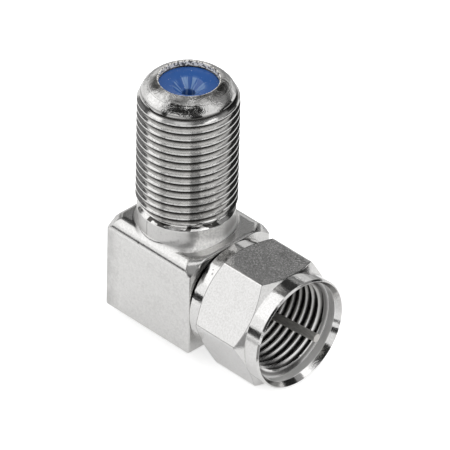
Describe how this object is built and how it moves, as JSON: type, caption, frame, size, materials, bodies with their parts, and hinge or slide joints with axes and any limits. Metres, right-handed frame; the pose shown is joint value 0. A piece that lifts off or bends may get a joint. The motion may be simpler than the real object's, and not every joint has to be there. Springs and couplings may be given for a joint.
{
  "type": "coax adapter",
  "caption": "Right-angle coaxial adapter: threaded jack barrel on a square elbow block, with a captive hexagonal coupling nut round a centre pin at its side.",
  "frame": {"origin": "centre of the plug's mating face, where the plug's axis meets the ferrule's front face", "axes": "+X out of the plug along its axis, +Z out of the jack barrel along its axis, Y = 0 is the plane that holds both axes"},
  "size_m": [0.0219, 0.0126, 0.0264],
  "materials": {
    "plated_casting": "nickel-plated zinc casting, satin on the block, bright on the thread",
    "plated_nut": "nickel-plated turned brass, fine turned lines, bright collars",
    "plated_ferrule": "nickel-plated turned brass",
    "pin_wire": "dull tinned wire with a cut end",
    "white_plastic": "white polyethylene",
    "contact_metal": "bare phosphor bronze",
    "blue_plastic": "blue moulded plastic, semi-gloss"
  },
  "bodies": {
    "elbow": {"body": "plated_casting", "ferrule": "plated_ferrule", "centre_pin": "pin_wire", "ferrule_insulator": "white_plastic", "socket_contact": "contact_metal", "barrel_insulator": "white_plastic", "front_insulator": "blue_plastic"},
    "nut": {"coupling_nut": "plated_nut"}
  },
  "joints": [
    {"name": "nut_spin", "type": "hinge", "parent": "elbow", "child": "nut", "pos_m": [0, 0, 0], "axis": [1, 0, 0], "continuous": true}
  ]
}
